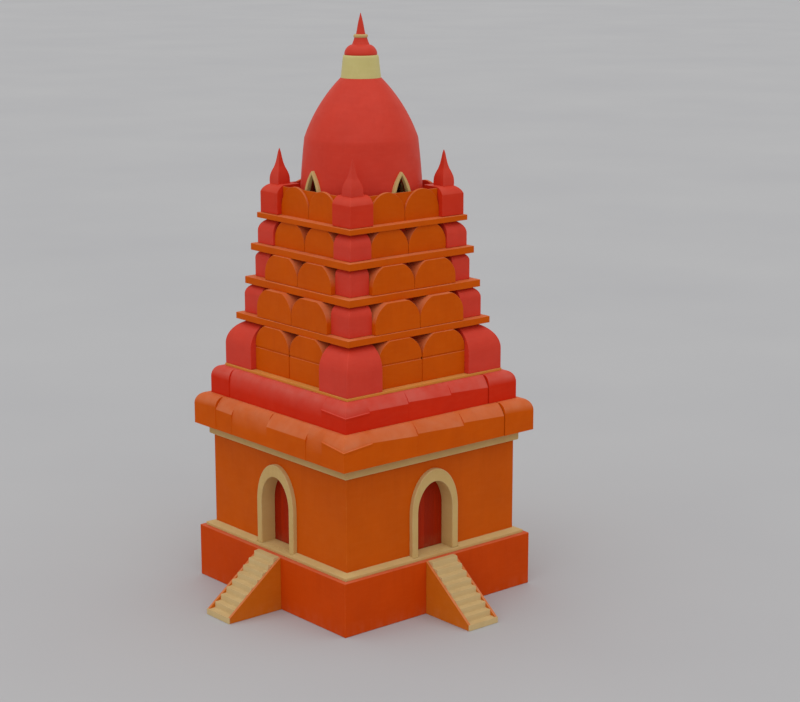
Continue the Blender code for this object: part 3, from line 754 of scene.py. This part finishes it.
def terrace():
    """The top slab, with two arched tablets on each side of it."""
    node = "terrace_with_parapet"
    form = bmesh.new()
    lay(form, ledge(half_of(node), foot_of(node), TERRACE_TOP))
    foot, reach = TERRACE_TOP - TERRACE_BED, PINNACLE_INNER - PANEL_JOINT
    end = reach - BACKING_MARGIN
    for turn in TURNS.values():
        for left, right in ((PANEL_SEAM, reach), (-reach, -PANEL_SEAM)):
            tablet = prism(panel_outline(left, right, foot, PARAPET_TOP, PARAPET_TOP),
                           -PARAPET_FACE, -PARAPET_BACK)
            lay(form, turned(soften(tablet, COURSE_ARRIS), turn))
        backing = block(-end, end, -BACKING_FACE, -BACKING_BACK, foot, BACKING_TOP)
        lay(form, turned(soften(backing, BACKING_ARRIS), turn))
    piece = show("terrace_and_parapet", form, TOWER_SAFFRON, [node])
    piece.data.materials.append(RED)
    for polygon in piece.data.polygons:
        middle = polygon.center
        outwards = Vector((middle.x, middle.y, 0)).normalized()
        if middle.z > TERRACE_TOP + 0.02 and polygon.normal.dot(outwards) < -0.5:
            polygon.material_index = 1  # the parapet's inner faces share the dome's red


# The finial's line by half width and height above its block
SPADE = ((0.236, -0.02), (0.240, 0.10), (0.230, 0.24), (0.205, 0.35), (0.178, 0.43), (0.127, 0.56),
         (0.086, 0.72), (0.055, 0.90), (0.030, 1.06), (0.004, PINNACLE_TIP - PINNACLE_BLOCK_TOP))


def corner_square(inner, outer, z):
    """A square over the front right corner, between two distances from the centre lines."""
    return [(inner, -outer, z), (outer, -outer, z), (outer, -inner, z), (inner, -inner, z)]


def pinnacles():
    """A block at each corner of the terrace, rounded over on its outer faces, under a four-sided spade."""
    middle = (PINNACLE_HALF + PINNACLE_INNER) / 2
    line = [(PINNACLE_HALF, TERRACE_TOP + GAP)]
    for back, up in rounding(PINNACLE_BULGE):
        line.append((PINNACLE_HALF - PINNACLE_ROUND * back, PINNACLE_BLOCK_TOP - PINNACLE_ROUND * (1 - up)))
    for name, turn in CORNERS.items():
        form = bmesh.new()
        lay(form, soften(loft([corner_square(PINNACLE_INNER, out, z) for out, z in line]), RIM_ARRIS))
        lay(form, loft([corner_square(middle - half, middle + half, PINNACLE_BLOCK_TOP + z)
                        for half, z in flowing(SPADE)]))
        piece = show(f"{name}_pinnacle", turned(form, turn), RED, [f"pinnacle_{name}"])
        piece.data.materials.append(BLOCK_RED)
        for polygon in piece.data.polygons:
            if polygon.center.z < PINNACLE_BLOCK_TOP:
                polygon.material_index = 1


DOME_SHELL = 0.25
# The dome's line by radius and height: the wall up to the waist, and the crown above it
DOME_WALL = ((2.05, TERRACE_TOP), (1.980, 14.0), (1.865, 15.20))
DOME_CROWN = ((1.865, 15.20), (1.464, 16.08), (0.66, 17.14))
# How the inner line lies in and down at the crown's three points, as shares of the shell's thickness
CROWN_INSET = ((1, 0), (0.9, 0.2), (0.55, 0.85))
# Pointed windows: half width and radius of the arcs outside the band and inside it
WINDOW_HALF, WINDOW_ARC, LIGHT_HALF, LIGHT_ARC = 0.42, 1.548, 0.30, 1.66
WINDOW_SPRING, WINDOW_FACE, WINDOW_BACK = 13.2, 2.08, 1.93
CUT_START, CUT_END = -3, -1  # the openings are cut from outside the dome to inside it


def arc(start, middle, end, count):
    """Points of the circular arc through three points."""
    (ax, ay), (bx, by), (cx, cy) = start, middle, end
    d = 2 * (ax * (by - cy) + bx * (cy - ay) + cx * (ay - by))
    a2, b2, c2 = ax * ax + ay * ay, bx * bx + by * by, cx * cx + cy * cy
    ux = (a2 * (by - cy) + b2 * (cy - ay) + c2 * (ay - by)) / d
    uy = (a2 * (cx - bx) + b2 * (ax - cx) + c2 * (bx - ax)) / d
    radius = math.hypot(ax - ux, ay - uy)
    first, last = math.atan2(ay - uy, ax - ux), math.atan2(cy - uy, cx - ux)
    last += math.tau * round((first - last) / math.tau)
    turns = [first + (last - first) * i / (count - 1) for i in range(count)]
    return [(ux + radius * math.cos(t), uy + radius * math.sin(t)) for t in turns]


def dome_line(inset, foot):
    """Radius and height of the dome's wall, from its foot to its crown."""
    low = [(radius - inset, z) for radius, z in arc(*DOME_WALL, 21)]
    low[0] = (low[0][0], foot)
    crown = [(radius - across * inset, z - down * inset)
             for (radius, z), (across, down) in zip(DOME_CROWN, CROWN_INSET)]
    return low + arc(*crown, 41)[1:]


def gothic(half, radius, spring, foot, count=17):
    """A pointed arch: upright sides and two arcs that meet at the top."""
    apex = math.sqrt(radius**2 - (radius - half) ** 2)
    last = math.asin(apex / radius)
    turns = [last * i / (count - 1) for i in range(count)]
    side = [(half - radius + radius * math.cos(t), spring + radius * math.sin(t)) for t in turns[:-1]]
    return [(half, foot), *side, (0, spring + apex), *[(-x, z) for x, z in reversed(side)], (-half, foot)]


def dome():
    """The dome's shell with a pointed opening on each side, and a plaster band round each opening."""
    foot = TERRACE_TOP + GAP
    shell = lathe(dome_line(0, foot) + dome_line(DOME_SHELL, foot)[::-1], 128, closed=True)
    piece = show("dome_shell", shell, RED, ["dome"], weighted=False)
    niches = bmesh.new()
    niche = gothic(WINDOW_HALF + GAP, WINDOW_ARC, WINDOW_SPRING, TERRACE_TOP - 1)
    for turn in TURNS.values():
        lay(niches, turned(prism(niche, CUT_START, CUT_END), turn))
    bmesh.ops.recalc_face_normals(niches, faces=niches.faces)
    mesh = bpy.data.meshes.new("niches")
    niches.to_mesh(mesh)
    niches.free()
    cutter = bpy.data.objects.new("niches", mesh)
    bpy.context.scene.collection.objects.link(cutter)
    cut = piece.modifiers.new("openings", "BOOLEAN")
    cut.operation, cut.solver, cut.object = "DIFFERENCE", "EXACT", cutter
    whole = piece.data
    piece.data = bpy.data.meshes.new_from_object(piece.evaluated_get(bpy.context.evaluated_depsgraph_get()))
    piece.modifiers.clear()
    piece.data.set_sharp_from_angle(angle=math.radians(DOME_SMOOTH_BEND))
    bpy.data.objects.remove(cutter)
    for used in (mesh, whole):
        bpy.data.meshes.remove(used)
    outline = gothic(WINDOW_HALF, WINDOW_ARC, WINDOW_SPRING, foot)
    outline += gothic(LIGHT_HALF, LIGHT_ARC, WINDOW_SPRING, foot)[::-1]
    for name, turn in TURNS.items():
        form = soften(prism(outline, -WINDOW_FACE, -WINDOW_BACK), BLOCK_ARRIS, 3,
                      only=face_edges(WINDOW_FACE, foot))
        show(f"{name}_dome_window", turned(form, turn), CREAM, [f"dome_window_{name}"])


# Lines of the crown's pieces by radius and height, from the dome up
NECK = ((0.655, 17.14 + GAP), (0.640, 17.27), (0.61, 17.55), (0.585, 17.78), (0.575, 17.835),
        (0.555, 17.865), (0.53, 17.87))
CAP_FOOT = ((0.52, 17.87 + GAP), (0.53, 17.88))
CAP_SHOULDER = ((0.535, 17.92), (0.47, 18.08), (0.32, 18.19))
CAP_FILLET = ((0.300, 18.195), (0.285, 18.205))
CAP_STALK = ((0.275, 18.225), (0.245, 18.30), (0.205, 18.42 - GAP))
BEAD = ((0.215, 18.425), (0.235, 18.475), (0.205, 18.525))
SPIRE = ((0.15, 18.53 + GAP), (0.13, 18.64), (0.075, 18.93), (0.006, 19.21))


def crown():
    """The neck, the bell-shaped cap, the bead and the spire on the dome."""
    cap = [*CAP_FOOT, *arc(*CAP_SHOULDER, 15), *CAP_FILLET, *flowing(CAP_STALK)]
    bead = [(0.205, 18.42), *arc(*BEAD, 11), (0.19, 18.53)]
    for name, form, look, slot, node in (
            ("neck_collar", lathe(NECK), PALE_LIME, "pale_lime_plaster", "neck_band"),
            ("crown_bell", lathe(cap), RED, "red_plaster", "crown_cap"),
            ("crown_bead", lathe(bead, 64), CREAM, "cream_plaster", "crown_ring"),
            ("spire", lathe(flowing(SPIRE), 64), RED, "red_plaster", "crown_spire")):
        show(name, form, look, [node], weighted=False)


STUDIO_FLOOR, STUDIO_FLOOR_DEPTH = 1500, 0.002  # its radius in metres, and how far it lies below the temple
BACKDROP = 0.46
# Soft lights: direction it comes from and height in degrees, strength, and width in degrees
LIGHTS = (("key", 221, 70, 1.27, 100), ("fill", 41, 60, 0.10, 100))


def studio():
    """A wide pale floor under soft light from all round, a little stronger from the camera's side."""
    bpy.ops.mesh.primitive_circle_add(vertices=96, radius=STUDIO_FLOOR, fill_type="NGON",
                                      location=(0, 0, -STUDIO_FLOOR_DEPTH))
    floor = bpy.context.object
    floor.name = "studio_floor"
    made = bpy.data.materials.new("pale_floor")
    made.use_nodes = True
    tree = made.node_tree
    shader = tree.nodes["Principled BSDF"]
    place = add(tree, "ShaderNodeTexCoord").outputs["Object"]
    patches = spread(tree, place, stretch=(0.05, 0.05, 0.05), detail=3.0, low=0.3, high=0.7, strongest=1.0)
    coat = add(tree, "ShaderNodeMix", {"Factor": patches, "A": linear("#c0c0c1"), "B": linear("#bbbbbd")},
               data_type="RGBA").outputs["Result"]
    tree.links.new(coat, shader.inputs["Base Color"])
    shader.inputs["Roughness"].default_value = 0.8
    floor.data.materials.append(made)
    world = bpy.data.worlds.new("studio")
    world.use_nodes = True
    backdrop = world.node_tree.nodes["Background"]
    backdrop.inputs["Color"].default_value = linear("#ffffff")
    backdrop.inputs["Strength"].default_value = BACKDROP
    bpy.context.scene.world = world
    for name, azimuth, height, strength, width in LIGHTS:
        lamp = bpy.data.lights.new(name, "SUN")
        lamp.energy, lamp.angle = strength, math.radians(width)
        light = bpy.data.objects.new(name, lamp)
        bpy.context.scene.collection.objects.link(light)
        a, e = math.radians(azimuth), math.radians(height)
        towards = Vector((math.cos(a) * math.cos(e), math.sin(a) * math.cos(e), math.sin(e)))
        light.rotation_euler = towards.to_track_quat("Z", "Y").to_euler()


# The photo's own camera, fitted to the corners of the square levels: place in metres, turn from +Y
# to +X, tilt down and roll in degrees, and lens in mm on a 36 mm sensor
CAMERA_PLACE = (-39.45978, -48.68565, 22.42731)
CAMERA_TURN, CAMERA_TILT, CAMERA_ROLL = 40.17603, 12.9479, -0.06366
LENS, SENSOR, FAR_END = 86.2829, 36.0, 4000


def camera():
    turn, tilt, roll = (math.radians(angle) for angle in (CAMERA_TURN, CAMERA_TILT, CAMERA_ROLL))
    ahead = Vector((math.sin(turn) * math.cos(tilt), math.cos(turn) * math.cos(tilt), -math.sin(tilt)))
    level = Vector((math.cos(turn), -math.sin(turn), 0))
    rise = level.cross(ahead)
    across = math.cos(roll) * level + math.sin(roll) * rise
    above = math.cos(roll) * rise - math.sin(roll) * level
    placed = Matrix((across, above, -ahead)).transposed().to_4x4()
    placed.translation = CAMERA_PLACE
    lens = bpy.data.cameras.new("photo_camera")
    lens.lens, lens.sensor_width, lens.clip_end = LENS, SENSOR, FAR_END
    seen = bpy.data.objects.new("photo_camera", lens)
    bpy.context.scene.collection.objects.link(seen)
    seen.matrix_world = placed
    bpy.context.scene.camera = seen
    bpy.context.scene.view_settings.view_transform = "Standard"


plinth()
plinth_trim()
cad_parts["floor"].data.materials.clear()
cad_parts["floor"].data.materials.append(CREAM)
walls()
door_surrounds()
door_leaves()
stairs()
string_course()
cornice("orange_cornice_stones", "orange_cornice", ORANGE_STONES, ORANGE_CORNERS, ORANGE_ROUND,
        ORANGE_INNER, TOWER_SAFFRON)
cornice("red_cornice_stones", "red_cornice", RED_STONES, RED_CORNERS, RED_ROUND, RED_INNER, RED_OXIDE)
for stage in STAGES:
    corner_blocks(stage)
    arched_panels(stage)
slabs()
terrace()
pinnacles()
dome()
crown()
studio()
camera()
